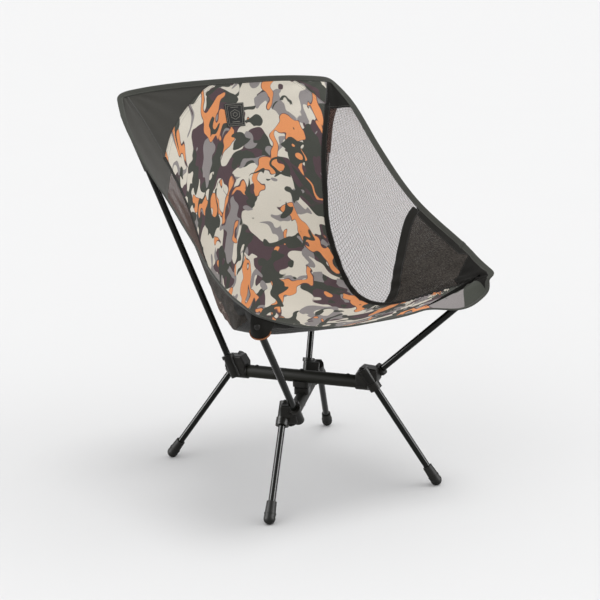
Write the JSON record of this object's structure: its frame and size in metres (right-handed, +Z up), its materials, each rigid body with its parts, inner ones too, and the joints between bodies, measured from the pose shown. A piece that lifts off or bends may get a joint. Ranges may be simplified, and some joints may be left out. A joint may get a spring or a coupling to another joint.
{
  "type": "ultralight camping chair",
  "caption": "Low packable camping chair: a bucket sling seat with mesh sides, hung on shock-corded aluminium poles that plug into a folding crossed base.",
  "frame": {"origin": "on the floor under the base's centre pivot", "axes": "+Z up, the seated person faces -Y, +X to the seated person's left"},
  "size_m": [0.4626, 0.4977, 0.6673],
  "materials": {
    "anodised_pole": "black anodised, glossy drawn tube",
    "hub_plastic": "moulded, fine texture",
    "boot_rubber": "moulded rubber",
    "tip_plastic": "moulded, smooth",
    "black_fastener": "black coated steel",
    "nylon_washer": "natural nylon",
    "shock_cord": "braided sheath over rubber",
    "camouflage_fabric": "printed woven polyester",
    "charcoal_fabric": "plain woven polyester",
    "coarse_mesh": "pale open knitted mesh",
    "fine_mesh": "dark fine knitted mesh",
    "black_fabric": "plain woven polyester",
    "edge_tape": "folded grosgrain tape",
    "amber_tape": "woven tape",
    "patch_fabric": "woven patch"
  },
  "bodies": {
    "upper_frame": {"upper_crossbar": "anodised_pole", "upper_bar_rivets": "black_fastener", "upper_saddle": "hub_plastic", "pivot_washer": "nylon_washer", "pivot_bolt": "black_fastener", "pivot_nut": "black_fastener", "front_left_hub": "hub_plastic", "rear_right_hub": "hub_plastic"},
    "lower_frame": {"lower_crossbar": "anodised_pole", "lower_bar_rivets": "black_fastener", "lower_saddle": "hub_plastic", "front_right_hub": "hub_plastic", "rear_left_hub": "hub_plastic"},
    "front_left_leg_pole": {"front_left_leg": "anodised_pole", "front_left_foot": "boot_rubber", "front_left_leg_cord": "shock_cord"},
    "front_left_upright_pole": {"front_left_upright": "anodised_pole", "front_left_upright_cord": "shock_cord", "front_left_tip": "tip_plastic"},
    "rear_right_leg_pole": {"rear_right_leg": "anodised_pole", "rear_right_foot": "boot_rubber", "rear_right_leg_cord": "shock_cord"},
    "rear_right_upright_pole": {"rear_right_lower_upright": "anodised_pole", "rear_right_ferrule": "anodised_pole", "rear_right_upright_cord": "shock_cord"},
    "rear_right_upright_top": {"rear_right_upper_upright": "anodised_pole", "rear_right_tip": "tip_plastic"},
    "front_right_leg_pole": {"front_right_leg": "anodised_pole", "front_right_foot": "boot_rubber", "front_right_leg_cord": "shock_cord"},
    "front_right_upright_pole": {"front_right_upright": "anodised_pole", "front_right_upright_cord": "shock_cord", "front_right_tip": "tip_plastic"},
    "rear_left_leg_pole": {"rear_left_leg": "anodised_pole", "rear_left_foot": "boot_rubber", "rear_left_leg_cord": "shock_cord"},
    "rear_left_upright_pole": {"rear_left_lower_upright": "anodised_pole", "rear_left_ferrule": "anodised_pole", "rear_left_upright_cord": "shock_cord"},
    "rear_left_upright_top": {"rear_left_upper_upright": "anodised_pole", "rear_left_tip": "tip_plastic"},
    "seat": {"back_patch": "patch_fabric", "edge_binding": "edge_tape", "front_gussets": "black_fabric", "front_left_pocket": "black_fabric", "front_pocket_trims": "amber_tape", "front_right_pocket": "black_fabric", "left_corner_panel": "camouflage_fabric", "left_front_mesh": "fine_mesh", "left_side_mesh": "coarse_mesh", "mesh_tapes": "black_fabric", "rear_gussets": "black_fabric", "rear_left_pocket": "charcoal_fabric", "rear_right_pocket": "charcoal_fabric", "right_corner_panel": "charcoal_fabric", "right_front_mesh": "fine_mesh", "right_side_mesh": "coarse_mesh", "seam_tapes": "black_fabric", "seat_sling": "camouflage_fabric"}
  },
  "joints": [
    {"name": "seat_lift", "type": "slide", "parent": "upper_frame", "child": "seat", "axis": [0, 0, 1], "range_m": [0, 0.45], "deforming": ["front_left_pocket", "rear_right_pocket", "front_right_pocket", "rear_left_pocket", "front_pocket_trims"]},
    {"name": "base_fold", "type": "hinge", "parent": "upper_frame", "child": "lower_frame", "pos_m": [0, 0, 0.157], "axis": [0, 0, 1], "range_deg": [0, 50]},
    {"name": "front_left_leg_pull", "type": "slide", "parent": "upper_frame", "child": "front_left_leg_pole", "axis": [0.4238, -0.3262, -0.845], "range_m": [0, 0.03], "stiffness_N_per_m": 150, "springref_m": -0.04},
    {"name": "front_left_upright_pull", "type": "slide", "parent": "upper_frame", "child": "front_left_upright_pole", "axis": [0.4719, -0.5746, 0.6687], "range_m": [0, 0.03]},
    {"name": "rear_right_leg_pull", "type": "slide", "parent": "upper_frame", "child": "rear_right_leg_pole", "axis": [-0.412, 0.4219, -0.8076], "range_m": [0, 0.03], "stiffness_N_per_m": 150, "springref_m": -0.04},
    {"name": "rear_right_upright_pull", "type": "slide", "parent": "upper_frame", "child": "rear_right_upright_pole", "axis": [-0.2496, 0.3097, 0.9175], "range_m": [0, 0.03]},
    {"name": "rear_right_upright_part", "type": "slide", "parent": "rear_right_upright_pole", "child": "rear_right_upright_top", "axis": [-0.2496, 0.3097, 0.9175], "range_m": [0, 0.03]},
    {"name": "front_right_leg_pull", "type": "slide", "parent": "lower_frame", "child": "front_right_leg_pole", "axis": [-0.4134, -0.4534, -0.7897], "range_m": [0, 0.03], "stiffness_N_per_m": 150, "springref_m": -0.04},
    {"name": "front_right_upright_pull", "type": "slide", "parent": "lower_frame", "child": "front_right_upright_pole", "axis": [-0.4902, -0.4641, 0.7378], "range_m": [0, 0.03]},
    {"name": "rear_left_leg_pull", "type": "slide", "parent": "lower_frame", "child": "rear_left_leg_pole", "axis": [0.3936, 0.5497, -0.7368], "range_m": [0, 0.03], "stiffness_N_per_m": 150, "springref_m": -0.04},
    {"name": "rear_left_upright_pull", "type": "slide", "parent": "lower_frame", "child": "rear_left_upright_pole", "axis": [0.2673, 0.2611, 0.9276], "range_m": [0, 0.03]},
    {"name": "rear_left_upright_part", "type": "slide", "parent": "rear_left_upright_pole", "child": "rear_left_upright_top", "axis": [0.2673, 0.2611, 0.9276], "range_m": [0, 0.03]}
  ],
  "couplings": [
    {"joint": "base_fold", "follows": "seat_lift", "rad_per_m": 1.9393},
    {"joint": "front_left_upright_pull", "follows": "seat_lift", "ratio": 0.0666},
    {"joint": "rear_right_upright_pull", "follows": "seat_lift", "ratio": 0.0666},
    {"joint": "rear_right_upright_part", "follows": "seat_lift", "ratio": 0.0666},
    {"joint": "front_right_upright_pull", "follows": "seat_lift", "ratio": 0.0666},
    {"joint": "rear_left_upright_pull", "follows": "seat_lift", "ratio": 0.0666},
    {"joint": "rear_left_upright_part", "follows": "seat_lift", "ratio": 0.0666}
  ]
}
